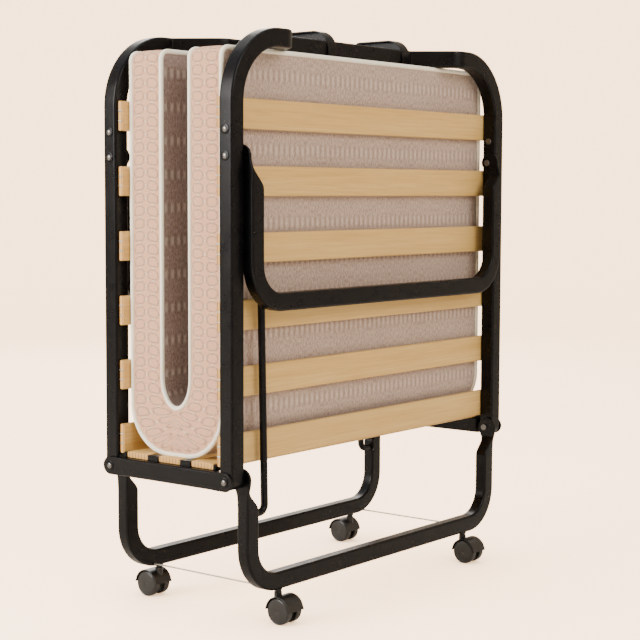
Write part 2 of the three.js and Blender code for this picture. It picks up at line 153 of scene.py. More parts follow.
# The camera stands at the left of the front leaf, a little below the head bar.
CAMERA_AT = (-2.4424, -1.9043, 0.7653)
CAMERA_YAW = 51.306
CAMERA_PITCH = 4.475
CAMERA_ROLL = -0.118
CAMERA_LENS = 88.83
CAMERA_SHIFT = (0.0347, -0.0071)

LEAVES = (("front", 1), ("back", -1))
SIDES = (("left", -1), ("right", 1))


# ---- shader building ------------------------------------------------------------------------
class Shader:
    """A material with short calls for the nodes used here."""

    def __init__(self, name, slot):
        self.material = bpy.data.materials.new(name)
        self.material.use_nodes = True
        self.material["slot"] = slot
        self.tree = self.material.node_tree
        self.body = self.tree.nodes["Principled BSDF"]

    def node(self, kind, inputs=None, **settings):
        node = self.tree.nodes.new(kind)
        for key, value in settings.items():
            setattr(node, key, value)
        for key, value in (inputs or {}).items():
            self.set(node, key, value)
        return node

    def set(self, node, key, value):
        if isinstance(value, bpy.types.NodeSocket):
            self.tree.links.new(value, node.inputs[key])
        else:
            node.inputs[key].default_value = value

    def math(self, operation, a, b=0.0, c=0.0):
        return self.node("ShaderNodeMath", {0: a, 1: b, 2: c}, operation=operation).outputs[0]

    def mix(self, share, a, b):
        node = self.node("ShaderNodeMix", {0: share, 6: a, 7: b}, data_type="RGBA")
        return node.outputs[2]

    def ramp(self, value, low, high, out_low=0.0, out_high=1.0):
        inputs = {0: value, 1: low, 2: high, 3: out_low, 4: out_high}
        return self.node("ShaderNodeMapRange", inputs, clamp=True).outputs[0]

    def place(self, source="Object", scale=(1, 1, 1)):
        coordinates = self.node("ShaderNodeTexCoord").outputs[source]
        return self.node("ShaderNodeMapping", {"Vector": coordinates, "Scale": scale}).outputs[0]

    def noise(self, vector, scale, detail=3.0, roughness=0.55):
        inputs = {"Vector": vector, "Scale": scale, "Detail": detail, "Roughness": roughness}
        return self.node("ShaderNodeTexNoise", inputs).outputs[0]

    def bump(self, height, distance, strength=1.0):
        inputs = {"Height": height, "Distance": distance, "Strength": strength}
        return self.node("ShaderNodeBump", inputs).outputs[0]

    def finish(self, **inputs):
        for key, value in inputs.items():
            self.set(self.body, key.replace("_", " "), value)
        return self.material


def colour(r, g, b):
    """An sRGB colour, 0 to 255, as the shader's linear one."""
    def linear(v):
        v /= 255
        return v / 12.92 if v <= 0.04045 else ((v + 0.055) / 1.055) ** 2.4
    return (linear(r), linear(g), linear(b), 1)


def black_paint():
    s = Shader("black_paint", "black_paint")
    place = s.place()
    peel = s.noise(place, 260, 2)
    patches = s.noise(place, 9, 3)
    base = s.mix(s.ramp(patches, 0.35, 0.7), colour(5, 5, 7), colour(9, 9, 11))
    rough = s.ramp(s.noise(place, 45, 4), 0.3, 0.7, 0.25, 0.35)
    return s.finish(Base_Color=base, Roughness=rough, Normal=s.bump(peel, 0.00004, 0.25),
                    Specular_IOR_Level=0.16)


def wood():
    s = Shader("slat_wood", "wood")
    along = s.place(scale=(1.2, 30, 30))
    fine = s.noise(s.place(scale=(6, 260, 260)), 1, 4, 0.6)
    broad = s.noise(along, 1.5, 4, 0.6)
    pores = s.ramp(s.noise(s.place(scale=(14, 700, 700)), 1, 2), 0.60, 0.72)
    piece = s.node("ShaderNodeObjectInfo").outputs["Random"]
    face = s.mix(s.ramp(broad, 0.3, 0.7), colour(206, 165, 92), colour(225, 190, 120))
    face = s.mix(s.ramp(fine, 0.35, 0.7, 0, 0.55), face, colour(186, 142, 78))
    face = s.mix(s.math("MULTIPLY", pores, 0.35), face, colour(156, 112, 60))
    face = s.mix(s.math("MULTIPLY", piece, 0.22), face, colour(226, 190, 122))
    thread = s.node("ShaderNodeSeparateXYZ", {0: s.place()}).outputs[1]
    strips = s.ramp(s.math("PINGPONG", thread, END_STRIP / 2), END_STRIP * 0.06, END_STRIP * 0.2)
    end = s.mix(strips, colour(150, 104, 52), colour(206, 160, 92))
    normal = s.node("ShaderNodeNewGeometry").outputs["True Normal"]
    across = s.node("ShaderNodeSeparateXYZ", {0: normal}).outputs[0]
    at_end = s.ramp(s.math("ABSOLUTE", across), 0.6, 0.8)
    height = s.math("SUBTRACT", fine, s.math("MULTIPLY", pores, 0.5))
    return s.finish(Base_Color=s.mix(at_end, face, end), Roughness=s.ramp(fine, 0.3, 0.7, 0.48, 0.62),
                    Normal=s.bump(height, 0.0002, 0.5), Specular_IOR_Level=0.35)


def weave_height(s, uv, pitch):
    """Over-and-under threads across both directions, pitch metres apart."""
    across, along, _ = s.node("ShaderNodeSeparateXYZ", {0: uv}).outputs
    warp = s.math("SINE", s.math("MULTIPLY", across, 2 * math.pi / pitch))
    weft = s.math("SINE", s.math("MULTIPLY", along, 2 * math.pi / pitch))
    return s.math("MULTIPLY", warp, weft)


def border_ticking():
    """The border strip: pinkish cloth with two columns of rings in a diamond lattice."""
    s = Shader("border_ticking", "ticking")
    uv = s.node("ShaderNodeUVMap").outputs[0]
    across, along, _ = s.node("ShaderNodeSeparateXYZ", {0: uv}).outputs
    cell_x = s.math("PINGPONG", s.math("ABSOLUTE", across), RING_COLUMN / 2)
    cell_x = s.math("SUBTRACT", 1, s.math("MULTIPLY", cell_x, 2 / RING_COLUMN))
    cell_y = s.math("MULTIPLY", s.math("PINGPONG", along, RING_ROW / 2), 2 / RING_ROW)
    square = s.math("ADD", s.math("MULTIPLY", cell_x, cell_x), s.math("MULTIPLY", cell_y, cell_y))
    ring = s.math("ABSOLUTE", s.math("SUBTRACT", s.math("SQRT", square), 0.76))
    ring = s.ramp(ring, 0.06, 0.19, 1, 0)
    lattice = s.math("ABSOLUTE", s.math("SUBTRACT", s.math("ADD", cell_x, cell_y), 1))
    lattice = s.ramp(lattice, 0.06, 0.16, 1, 0)
    broken = s.ramp(s.noise(uv, 420, 2), 0.38, 0.58, 0.25, 1)
    ring = s.math("MULTIPLY", ring, broken)
    lattice = s.math("MULTIPLY", lattice, broken)
    specks = s.noise(uv, 380, 3, 0.8)
    cloth = s.mix(s.ramp(specks, 0.36, 0.64), colour(214, 154, 120), colour(246, 198, 164))
    cloth = s.mix(s.ramp(s.noise(uv, 26, 2), 0.35, 0.65, 0, 0.5), cloth, colour(234, 184, 142))
    # The lattice is painted paler and the rings darker: the cloth's own pattern, with painted highlight
    # on the raised lattice and painted shade in the sunken rings.
    base = s.mix(s.math("MULTIPLY", lattice, 0.8), cloth, colour(255, 238, 214))
    base = s.mix(s.math("MULTIPLY", ring, 0.85), base, colour(160, 104, 78))
    height = s.math("SUBTRACT", s.math("MULTIPLY", lattice, 0.6), ring)
    height = s.math("ADD", s.math("MULTIPLY", weave_height(s, uv, 0.0011), 0.25), height)
    return s.finish(Base_Color=base, Roughness=0.9, Normal=s.bump(height, 0.0016, 0.7),
                    Sheen_Weight=0.25, Specular_IOR_Level=0.2)


def face_ticking(name, dark_thread, light_thread):
    """The mattress's faces: taupe cloth with bands of upright strokes across its width."""
    s = Shader(name, "ticking")
    uv = s.node("ShaderNodeUVMap").outputs[0]
    across, along, _ = s.node("ShaderNodeSeparateXYZ", {0: uv}).outputs
    tooth = s.math("PINGPONG", across, TOOTH / 2)
    from_band = s.math("PINGPONG", s.math("ADD", along, BAND_START), BAND / 2)
    reach = s.math("ADD", from_band, tooth)
    inside = s.ramp(reach, BAND_HALF, BAND_HALF + 0.006, 1, 0)
    stroke = s.ramp(tooth, TOOTH * 0.12, TOOTH * 0.38)
    light = s.math("MULTIPLY", inside, stroke)
    dark = s.math("MULTIPLY", inside, s.math("SUBTRACT", 1, stroke))
    threads = s.node("ShaderNodeMapping", {"Vector": uv, "Scale": (1, 0.4, 1)}).outputs[0]
    threads = s.noise(threads, 340, 3, 0.8)
    cloth = s.mix(s.ramp(threads, 0.36, 0.64), dark_thread, light_thread)
    cloth = s.mix(s.ramp(s.noise(uv, 12, 2), 0.35, 0.65, 0, 0.15), cloth, light_thread)
    base = s.mix(s.math("MULTIPLY", light, 0.4), cloth, colour(226, 206, 190))
    base = s.mix(s.math("MULTIPLY", dark, 0.45), base, dark_thread)
    height = s.math("ADD", s.math("MULTIPLY", weave_height(s, uv, 0.0012), 0.3), light)
    return s.finish(Base_Color=base, Roughness=0.92, Normal=s.bump(height, 0.0012, 0.6),
                    Sheen_Weight=0.3, Specular_IOR_Level=0.2)


def piping_cloth():
    s = Shader("piping_cloth", "ticking")
    uv = s.node("ShaderNodeUVMap").outputs[0]
    across, along, _ = s.node("ShaderNodeSeparateXYZ", {0: uv}).outputs
    twill = s.math("SINE", s.math("MULTIPLY", s.math("ADD", across, along), 2 * math.pi / 0.0016))
    soil = s.noise(uv, 40, 3)
    base = s.mix(s.ramp(soil, 0.35, 0.7), colour(255, 246, 222), colour(255, 253, 240))
    return s.finish(Base_Color=base, Roughness=0.85, Normal=s.bump(twill, 0.0003, 0.5),
                    Sheen_Weight=0.2, Specular_IOR_Level=0.25)


def rivet_steel():
    s = Shader("rivet_steel", "rivet")
    scuffs = s.noise(s.place(), 700, 3)
    return s.finish(Base_Color=s.mix(scuffs, colour(84, 82, 80), colour(130, 128, 126)), Metallic=1.0,
                    Roughness=s.ramp(scuffs, 0.3, 0.7, 0.28, 0.42))


def wire_steel():
    s = Shader("wire_steel", "steel_wire")
    drawn = s.noise(s.place(scale=(400, 20, 400)), 1, 3)
    return s.finish(Base_Color=s.mix(drawn, colour(150, 146, 138), colour(200, 196, 188)), Metallic=0.9,
                    Roughness=s.ramp(drawn, 0.3, 0.7, 0.3, 0.45))


def moulded_plastic(name, dark, light):
    s = Shader(name, name)
    place = s.place()
    mottle = s.noise(place, 60, 3)
    grain = s.noise(place, 2200, 2)
    return s.finish(Base_Color=s.mix(s.ramp(mottle, 0.35, 0.65), dark, light),
                    Roughness=s.ramp(mottle, 0.3, 0.7, 0.28, 0.4), Normal=s.bump(grain, 0.0001, 0.5))


def floor_paper():
    """Pale paper that glows for the camera's own rays only, with painted shade: the glow dims close to
    the feet.
    """
    s = Shader("floor_paper", "")
    place = s.place()
    tone = s.ramp(s.noise(place, 1.2, 3), 0.3, 0.7)
    fleck = s.noise(place, 350, 2)
    seen = s.node("ShaderNodeLightPath").outputs["Is Camera Ray"]
    # Ambient occlusion dims the glow near the feet: painted contact shadow.
    open_sky = s.node("ShaderNodeAmbientOcclusion", {"Distance": SHADE_REACH}, samples=8).outputs["AO"]
    glow = s.math("MULTIPLY", s.ramp(open_sky, 0.15, 1.0, 0.25, 1), FLOOR_GLOW_STRENGTH)
    return s.finish(Base_Color=s.mix(tone, colour(238, 226, 210), colour(241, 230, 215)), Roughness=0.9,
                    Normal=s.bump(fleck, 0.0002, 0.3), Specular_IOR_Level=0.1,
                    Emission_Color=FLOOR_GLOW, Emission_Strength=s.math("MULTIPLY", seen, glow))


PAINT = black_paint()
WOOD = wood()
BORDER = border_ticking()
OUTER_FACE = face_ticking("outer_ticking", colour(144, 118, 104), colour(208, 184, 166))
# The inner faces, down the slit, take a darker and more neutral copy of the face cloth: painted shade.
SHADED_INNER_FACE = face_ticking("inner_ticking_painted_shade", colour(112, 92, 84), colour(172, 150, 140))
PIPING = piping_cloth()
RIVET = rivet_steel()
WIRE = wire_steel()
HOOD_PLASTIC = moulded_plastic("caster_plastic", colour(12, 12, 12), colour(19, 19, 19))
WHEEL_PLASTIC = moulded_plastic("wheel_plastic", colour(20, 20, 20), colour(28, 28, 27))
PAPER = floor_paper()


# ---- mesh building --------------------------------------------------------------------------
Station = namedtuple("Station", "centre a b half_a half_b radius")
X, Y, Z = Vector((1, 0, 0)), Vector((0, 1, 0)), Vector((0, 0, 1))


def add_piece(name, body, vertices, faces, material, sharp=40, uvs=None):
    """A smooth-shaded mesh that rides on a body. sharp is the angle past which an edge stays hard."""
    mesh = bpy.data.meshes.new(name)
    mesh.from_pydata(vertices, [], faces)
    if uvs:
        layer = mesh.uv_layers.new(name="UVMap")
        for loop in mesh.loops:
            layer.data[loop.index].uv = uvs[loop.vertex_index]
    build = bmesh.new()
    build.from_mesh(mesh)
    bmesh.ops.recalc_face_normals(build, faces=build.faces)
    build.to_mesh(mesh)
    build.free()
    mesh.shade_smooth()
    mesh.set_sharp_from_angle(angle=math.radians(sharp))
    mesh.materials.append(material)
    piece = bpy.data.objects.new(name, mesh)
    bpy.context.scene.collection.objects.link(piece)
    piece.modifiers.new("weighted", "WEIGHTED_NORMAL").keep_sharp = True
    if body:
        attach(piece, body)
    return piece


def rounded_section(half_a, half_b, radius, steps=5):
    points = []
    for quarter, (a, b) in enumerate(((1, 1), (-1, 1), (-1, -1), (1, -1))):
        for i in range(steps + 1):
            angle = (quarter + i / steps) * math.pi / 2
            x = a * (half_a - radius) + radius * math.cos(angle)
            y = b * (half_b - radius) + radius * math.sin(angle)
            points.append((x, y))
    return points


def ring(station):
    half_a, half_b = station.half_a, station.half_b
    radius = min(station.radius, half_a * 0.98, half_b * 0.98)
    section = rounded_section(half_a, half_b, radius)
    return [station.centre + station.a * x + station.b * y for x, y in section]


def tube_faces(rings, sides):
    """The faces between rings of points, which close on themselves."""
    faces = []
    for i in range(rings - 1):
        for j in range(sides):
            k = (j + 1) % sides
            faces.append((i * sides + j, i * sides + k, (i + 1) * sides + k, (i + 1) * sides + j))
    return faces


def grid_faces(rows, columns):
    """The faces of a sheet of rows by columns, whose points come row by row."""
    count = columns + 1
    faces = []
    for i in range(rows):
        for j in range(columns):
            a = i * count + j
            faces.append((a, a + 1, a + count + 1, a + count))
    return faces


def loft(name, body, rings, material, sharp=40):
    """Joins rings of points into a closed skin, with a flat cap at each end."""
    count = len(rings[0])
    vertices = [p for points in rings for p in points]
    faces = tube_faces(len(rings), count)
    faces.append(tuple(range(count)))
    faces.append(tuple(range(len(vertices) - count, len(vertices))))
    return add_piece(name, body, vertices, faces, material, sharp)


def turned(name, body, profile, centre, axis, material, sides=40, sharp=35):
    """A solid of revolution: profile holds (radius, height) pairs along the axis, from end to end."""
    side = axis.orthogonal().normalized()
    other = axis.cross(side)
    rings = []
    for radius, height in profile:
        points = []
        for i in range(sides):
            angle = 2 * math.pi * i / sides
            way = side * math.cos(angle) + other * math.sin(angle)
            points.append(centre + axis * height + way * max(radius, 1e-5))
        rings.append(points)
    return loft(name, body, rings, material, sharp)


def bent_path(corners, radii, step=math.radians(6)):
    points = [corners[0]]
    for before, corner, after, radius in zip(corners, corners[1:], corners[2:], radii):
        inward = (before - corner).normalized()
        outward = (after - corner).normalized()
        half = inward.angle(outward) / 2
        turn = math.pi - 2 * half
        centre = corner + (inward + outward).normalized() * (radius / math.sin(half))
        start = corner + inward * (radius / math.tan(half)) - centre
        axis = outward.cross(inward).normalized()
        steps = max(4, math.ceil(turn / step))
        for i in range(steps + 1):
            points.append(centre + Matrix.Rotation(turn * i / steps, 3, axis) @ start)
    points.append(corners[-1])
    return points


def tangents(points):
    found = []
    for i, here in enumerate(points):
        before = points[max(i - 1, 0)]
        after = points[min(i + 1, len(points) - 1)]
        way = Vector()
        if i > 0:
            way += (here - before).normalized()
        if i < len(points) - 1:
            way += (after - here).normalized()
        found.append(way.normalized())
    return found


def stations_along(points, first_side, half_side, half_other, radius):
    """One section at each point, carried along the path without twisting."""
    ways = tangents(points)
    side = first_side.copy()
    stations = []
    for i, (point, way) in enumerate(zip(points, ways)):
        if i > 0:
            side = ways[i - 1].rotation_difference(way) @ side
        side = (side - way * side.dot(way)).normalized()
        stations.append(Station(point, side, way.cross(side), half_side, half_other, radius))
    return stations


def half_turn(points, way):
    """The back leaf is the front leaf turned half round about Z."""
    return [Vector((way * p.x, way * p.y, p.z)) for p in points]


def rounding_angles(steps):
    """Angles from nearly a right angle down towards zero, one for each section of a round end."""
    return [math.pi / 2 * (1 - i / steps) * 0.97 for i in range(steps)]


def smooth_step(t):
    t = min(max(t, 0), 1)
    return t * t * (3 - 2 * t)


# ---- leaf frames ----------------------------------------------------------------------------
def leaf_frame(leaf, way):
    top = TOP - TUBE_WIDE / 2
    jog_start = half_width - HEAD_INSET
    jog_end = jog_start - HEAD_JOG
    inner = -leaf_y + HEAD_SHIFT
    corners = [Vector(c) for c in (
        (-post_x, -leaf_y, HINGE_Z),
        (-post_x, -leaf_y, top),
        (-jog_start, -leaf_y, top),
        (-jog_end, inner, top),
        (jog_end, inner, top),
        (jog_start, -leaf_y, top),
        (post_x, -leaf_y, top),
        (post_x, -leaf_y, HINGE_Z),
    )]
    bends = [CORNER_RADIUS, HEAD_BEND, HEAD_BEND, HEAD_BEND, HEAD_BEND, CORNER_RADIUS]
    path = bent_path(corners, bends, math.radians(4))
    tube = stations_along(path, Y, TUBE_DEEP / 2, TUBE_WIDE / 2, TUBE_ROUND)
    eye = []
    for angle in rounding_angles(9):
        half = TUBE_DEEP / 2 * math.cos(angle)
        z = HINGE_Z - TUBE_DEEP / 2 * math.sin(angle)
        eye.append(tube[0]._replace(centre=Vector((-post_x, -leaf_y, z)), half_a=half))
    far_eye = [s._replace(centre=Vector((post_x, s.centre.y, s.centre.z)), a=tube[-1].a, b=tube[-1].b)
               for s in reversed(eye)]
    rings = [half_turn(ring(s), way) for s in eye + tube + far_eye]
    piece = loft(f"{leaf}_leaf_tube", f"{leaf}_leaf", rings, PAINT)
    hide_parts(f"{leaf}_leaf_frame")


# ---- slats ----------------------------------------------------------------------------------
def slat(node, body, thin_axis):
    """A slat along X in the box of its CAD node, with rounded long edges and eased ends."""
    low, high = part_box(node)
    centre = (low + high) / 2
    size = high - low
    thick, wide = (size.y, size.z) if thin_axis == Y else (size.z, size.y)
    wide_axis = Z if thin_axis == Y else Y
    ease = 0.0009
    half_thick, half_wide = thick / 2, wide / 2
    rings = []
    for x, shrink in ((low.x, ease), (low.x + ease, 0), (high.x - ease, 0), (high.x, ease)):
        at = Vector((x, centre.y, centre.z))
        section = Station(at, thin_axis, wide_axis, half_thick - shrink, half_wide - shrink, SLAT_ROUND)
        rings.append(ring(section))
    piece = loft(node.replace("slat", "slat_board"), body, rings, WOOD, 60)
    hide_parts(node)
    if thin_axis == Y:
        for side in (-1, 1):
            for offset in (-1, 1):
                end = Vector((centre.x + side * size.x / 2, centre.y, centre.z + offset * PEG_OFFSET))
                peg(node, body, end, side, "high" if offset > 0 else "low")


def peg(node, body, end, side, level):
    """A small bright pin let into a slat's end, lying across its thickness."""
    word = "left" if side < 0 else "right"
    rings = []
    for y, shrink in ((-PEG_LONG / 2, 0.0005), (-PEG_LONG / 2 + 0.0006, 0), (PEG_LONG / 2 - 0.0006, 0),
                      (PEG_LONG / 2, 0.0005)):
        half = PEG_THICK / 2 - shrink
        rings.append(ring(Station(end + Y * y, X, Z, half, half, PEG_THICK / 2)))
    loft(f"{node}_peg_{word}_{level}", body, rings, WIRE)


# ---- legs -----------------------------------------------------------------------------------
def leg_stations(y, pivot_z, bottom):
    """Half of a U leg, from its left eye down and along to the middle: its ends are pressed flat."""
    outer_x = -(half_width - LEG_OUT)
    swell_top = pivot_z - LEG_NECK
    stations = []
    for angle in rounding_angles(10):
        z = pivot_z + LEG_EYE * math.sin(angle)
        centre = Vector((outer_x + LEG_PLATE / 2, -leaf_y - EYE_SHIFT, z))
        stations.append(Station(centre, -X, Y, LEG_PLATE / 2, LEG_EYE * math.cos(angle), PLATE_ROUND))
    steps = 22
    reach = LEG_NECK + LEG_SWELL + 0.006
    for i in range(steps + 1):
        drop = reach * i / steps
        narrowing = smooth_step(drop / (LEG_NECK + 0.010))
        swell = smooth_step((drop - LEG_NECK + 0.004) / (LEG_SWELL + 0.004))
        wide = LEG_PLATE + (LEG_WIDE - LEG_PLATE) * swell
        centre_y = -leaf_y - EYE_SHIFT + (y + leaf_y + EYE_SHIFT) * narrowing
        centre = Vector((outer_x + wide / 2, centre_y, pivot_z - drop))
        half_y = LEG_EYE + (LEG_DEEP / 2 - LEG_EYE) * narrowing
        radius = PLATE_ROUND + (TUBE_ROUND - PLATE_ROUND) * swell
        stations.append(Station(centre, -X, Y, wide / 2, half_y, radius))
    low = bottom + LEG_WIDE / 2
    corners = [
        Vector((-leg_x, y, swell_top - LEG_SWELL - 0.008)),
        Vector((-leg_x, y, low)),
        Vector((0, y, low)),
    ]
    path = bent_path(corners, [LEG_CORNER], math.radians(4))
    stations += stations_along(path, -X, LEG_WIDE / 2, LEG_DEEP / 2, TUBE_ROUND)
    return stations


def mirrored(station):
    flip = Matrix.Diagonal((-1, 1, 1))
    return station._replace(centre=flip @ station.centre, a=flip @ station.a, b=flip @ station.b)


def leg(name, body, node, way, y, pivot_z, bottom):
    half = leg_stations(y, pivot_z, bottom)
    # The sections all face the same way, so that the skin doesn't twist between them.
    for i, station in enumerate(half):
        if station.b.y < 0:
            half[i] = station._replace(b=-station.b)
    other = [mirrored(s) for s in reversed(half[:-1])]
    rings = [half_turn(ring(s), way) for s in half + other]
    piece = loft(name, body, rings, PAINT, 50)
    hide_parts(node)
    rod_lug(name, body, way, y, pivot_z - ROD_DROP)


def rod_lug(name, body, way, y, z):
    """The lug on a leg's inner side that takes a crank of the link rod."""
    thick = 0.006
    radius = 0.0105
    outline = [(y, z + radius), (y, z - radius)]
    for i in range(17):
        angle = -math.pi / 2 + math.pi * i / 16
        outline.append((-leaf_y + radius * math.cos(angle), z + radius * math.sin(angle)))
    rings = []
    for x, shrink in ((0, 0), (thick - 0.0012, 0), (thick, 0.0012)):
        points = []
        for side_y, side_z in outline:
            toward = Vector((0, -leaf_y - side_y, z - side_z)).normalized() * shrink
            points.append(Vector((-leg_inner + x, side_y, side_z)) + toward)
        rings.append(half_turn(points, way))
    loft(f"{name}_lug", body, rings, PAINT)


def link_rod(leaf, way):
    low = HINGE_Z - ROD_DROP
    high = LEG_PIVOT_Z - ROD_DROP
    socket = -leg_inner + 0.0006
    corners = [
        Vector((socket, -leaf_y, low)),
        Vector((-half_width + ROD_LOW_X, -leaf_y, low)),
        Vector((-half_width + ROD_HIGH_X, -leaf_y, high)),
        Vector((socket, -leaf_y, high)),
    ]
    path = bent_path(corners, [ROD_BEND, ROD_BEND])
    stations = stations_along(path, Y, ROD_RADIUS, ROD_RADIUS, ROD_RADIUS * 0.98)
    rings = [half_turn(ring(s), way) for s in stations]
    piece = loft(f"{leaf}_link_bar", f"{leaf}_rod", rings, PAINT, 60)
    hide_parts(f"{leaf}_link_rod")


# ---- middle frame ---------------------------------------------------------------------------
def side_rail(word, side):
    """A rail tube whose two ends are pressed flat to lap over the posts."""
    outer = half_width + RAIL_GAP + RAIL_LAP
    half_high = RAIL_HEIGHT / 2
    stations = []
    for angle in rounding_angles(12):
        y = -leaf_y - half_high * math.sin(angle)
        centre = Vector((side * (outer - RAIL_LAP / 2), y, HINGE_Z))
        stations.append(Station(centre, X * side, Z, RAIL_LAP / 2, half_high * math.cos(angle), 0.0014))
    press = leaf_y - 0.0175
    for i in range(13):
        t = i / 12
        deep = RAIL_LAP + (RAIL_DEPTH - RAIL_LAP) * smooth_step(t)
        centre = Vector((side * (outer - deep / 2), -press + 0.016 * t, HINGE_Z))
        stations.append(Station(centre, X * side, Z, deep / 2, half_high, 0.0014 + 0.0028 * t))
    far = [s._replace(centre=Vector((s.centre.x, -s.centre.y, s.centre.z))) for s in reversed(stations)]
    piece = loft(f"{word}_rail_tube", "base", [ring(s) for s in stations + far], PAINT, 50)
    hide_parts(f"{word}_side_rail")


def slat_blocks(word, side):
    """Black blocks on a rail that keep the middle slats apart."""
    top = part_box("middle_slat_1")[1].z - 0.001
    bottom = HINGE_Z + RAIL_HEIGHT / 2 - 0.001
    outer = half_width - BLOCK_INSET
    edges = sorted(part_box(f"middle_slat_{number}")[0].y for number in (1, 2, 3))
    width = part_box("middle_slat_1")[1].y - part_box("middle_slat_1")[0].y
    gaps = [(low + width, high) for low, high in zip(edges, edges[1:])]
    gaps.append((edges[-1] + width, edges[-1] + width + BLOCK_END))
    gaps.append((edges[0] - BLOCK_END, edges[0]))
    half_z = (top - bottom) / 2
    for number, (low, high) in enumerate(gaps, 1):
        half_y = (high - low) / 2
        rings = []
        for x, shrink in ((0, 0.001), (0.001, 0), (BLOCK_WIDE - 0.001, 0), (BLOCK_WIDE, 0.001)):
            centre = Vector((side * (outer - x), (low + high) / 2, (top + bottom) / 2))
            rings.append(ring(Station(centre, Y, Z, half_y - shrink, half_z - shrink, 0.0012)))
        loft(f"{word}_slat_block_{number}", "base", rings, PAINT)


def rivet(node, body, shoulder):
    """A bright domed head on a dark washer, at the outer end of its CAD rivet."""
    low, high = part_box(node)
    side = 1 if high.x > 0 else -1
    outer = high.x if side > 0 else low.x
    centre = Vector((outer - side * RIVET_HIGH, (low.y + high.y) / 2, (low.z + high.z) / 2))
    dome = [(RIVET_RADIUS, -0.0006), (RIVET_RADIUS, 0.0003)]
    for i in range(9):
        angle = math.pi / 2 * i / 8
        dome.append((RIVET_RADIUS * math.cos(angle), 0.0003 + (RIVET_HIGH - 0.0003) * math.sin(angle)))
    head = turned(f"{node}_dome", body, [(0, -0.0006)] + dome, centre, X * side, RIVET)
    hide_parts(node)
    washer = [(0, -0.0002), (WASHER_RADIUS, -0.0002), (WASHER_RADIUS, 0.0006),
              (WASHER_RADIUS - 0.0008, 0.0011), (0, 0.0011)]
    turned(f"{node}_washer", body, washer, centre, X * side, PAINT)
    inner = low.x if side > 0 else high.x
    length = abs(outer - inner)
    shank = [(0, 0), (0.0058, 0), (0.0064, 0.0006), (0.0064, 0.0026), (0.004, 0.003),
             (0.004, length - RIVET_HIGH - 0.0006), (0, length - RIVET_HIGH - 0.0006)]
    turned(f"{node}_shank", body, shank, Vector((inner, centre.y, centre.z)), X * side, RIVET)
    if shoulder:
        start = half_width - TUBE_WIDE
        stop = half_width - LEG_OUT
        spacer = [(0.0042, -start), (0.0085, -start), (0.0085, -stop), (0.0042, -stop)]
        turned(f"{node}_spacer", body, spacer, Vector((0, centre.y, centre.z)), X * -side, WIRE)


def tie_wire(word):
    low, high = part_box(f"{word}_tie_wire")
    centre = (low + high) / 2
    radius = (high.x - low.x) / 2
    profile = [(0, low.y), (radius, low.y), (radius, high.y), (0, high.y)]
    piece = turned(f"{word}_tie_rod", "base", profile, Vector((centre.x, 0, centre.z)), Y, WIRE, 16)
    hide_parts(f"{word}_tie_wire")


def hoop(word):
    """A flat band bent over the head bar, with a thin web under it."""
    low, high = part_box(f"{word}_retaining_hoop")
    x = (low.x + high.x) / 2
    thick = 0.0015
    corners = [
        Vector((x, low.y + thick, low.z)),
        Vector((x, low.y + thick, high.z - thick)),
        Vector((x, high.y - thick, high.z - thick)),
        Vector((x, high.y - thick, TOP + 0.004)),
    ]
    path = bent_path(corners, [HOOP_BEND, HOOP_FAR_BEND])
    stations = stations_along(path, X, HOOP_WIDE / 2, thick, 0.0008)
    piece = loft(f"{word}_hoop_band", "front_leaf", [ring(s) for s in stations], PAINT, 50)
    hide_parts(f"{word}_retaining_hoop")
    foot = TOP + 0.001
    edge = [p for p in path if p.z > foot]
    edge = [Vector((x, edge[0].y, foot))] + edge + [Vector((x, edge[-1].y, foot))]
    rings = [[p + X * offset for p in edge] for offset in (-0.0008, 0.0008)]
    loft(f"{word}_hoop_web", "front_leaf", rings, PAINT)


# ---- mattress -------------------------------------------------------------------------------
# One half runs from the middle of the fold, at Y = 0, to its own end at the top.
OUTER_Y = slat_inner_y - MATTRESS_CLEAR
FLOOR_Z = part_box("mattress_fold")[0].z
FLAT = OUTER_Y - FOLD_CORNER
ARC = FOLD_CORNER * math.pi / 2


def outer_line(share):
    """The mattress's outer side: flat under the fold, round its corner, then straight up."""
    straight = MATTRESS_TOP - FLOOR_Z - FOLD_CORNER
    length = FLAT + ARC + straight
    s = share * length
    if s < FLAT:
        return Vector((0, -s, FLOOR_Z))
    if s < FLAT + ARC:
        angle = (s - FLAT) / FOLD_CORNER
        y = -FLAT - FOLD_CORNER * math.sin(angle)
        z = FLOOR_Z + FOLD_CORNER * (1 - math.cos(angle))
        return Vector((0, y, z))
    return Vector((0, -OUTER_Y, FLOOR_Z + FOLD_CORNER + s - FLAT - ARC))


def inner_line(share):
    """The slit's side: round its lower end, then straight up."""
    straight = MATTRESS_TOP - FOLD_INNER_Z - SLIT_ROUND
    # The fold takes the same share of this line as of the outer one.
    fold_share = (FLAT + ARC) / (FLAT + ARC + MATTRESS_TOP - FLOOR_Z - FOLD_CORNER)
    if share < fold_share:
        angle = math.pi / 2 * share / fold_share
        z = FOLD_INNER_Z + SLIT_ROUND * (1 - math.cos(angle))
        return Vector((0, -SLIT_HALF * math.sin(angle), z))
    t = (share - fold_share) / (1 - fold_share)
    return Vector((0, -SLIT_HALF, FOLD_INNER_Z + SLIT_ROUND + straight * t))


def across_thickness(share, t):
    """A point between the outer side, t = -1, and the slit's side, t = 1."""
    return outer_line(share).lerp(inner_line(share), (t + 1) / 2)


def plan_outline(length, radius, steps=8):
    """Half the mattress's outline seen flat: up its left side, round its end, down the right."""
    half = MATTRESS_WIDE / 2
    left = []
    for i in range(OUTLINE_ROWS + 1):
        left.append((-half, (length - radius) * i / OUTLINE_ROWS))
    for i in range(1, steps + 1):
        angle = math.pi / 2 * i / steps
        left.append((-half + radius * (1 - math.cos(angle)), length - radius * (1 - math.sin(angle))))
    end = [(-half + radius + (MATTRESS_WIDE - 2 * radius) * i / 24, length) for i in range(1, 24)]
    right = [(-x, s) for x, s in reversed(left)]
    return left + end + right


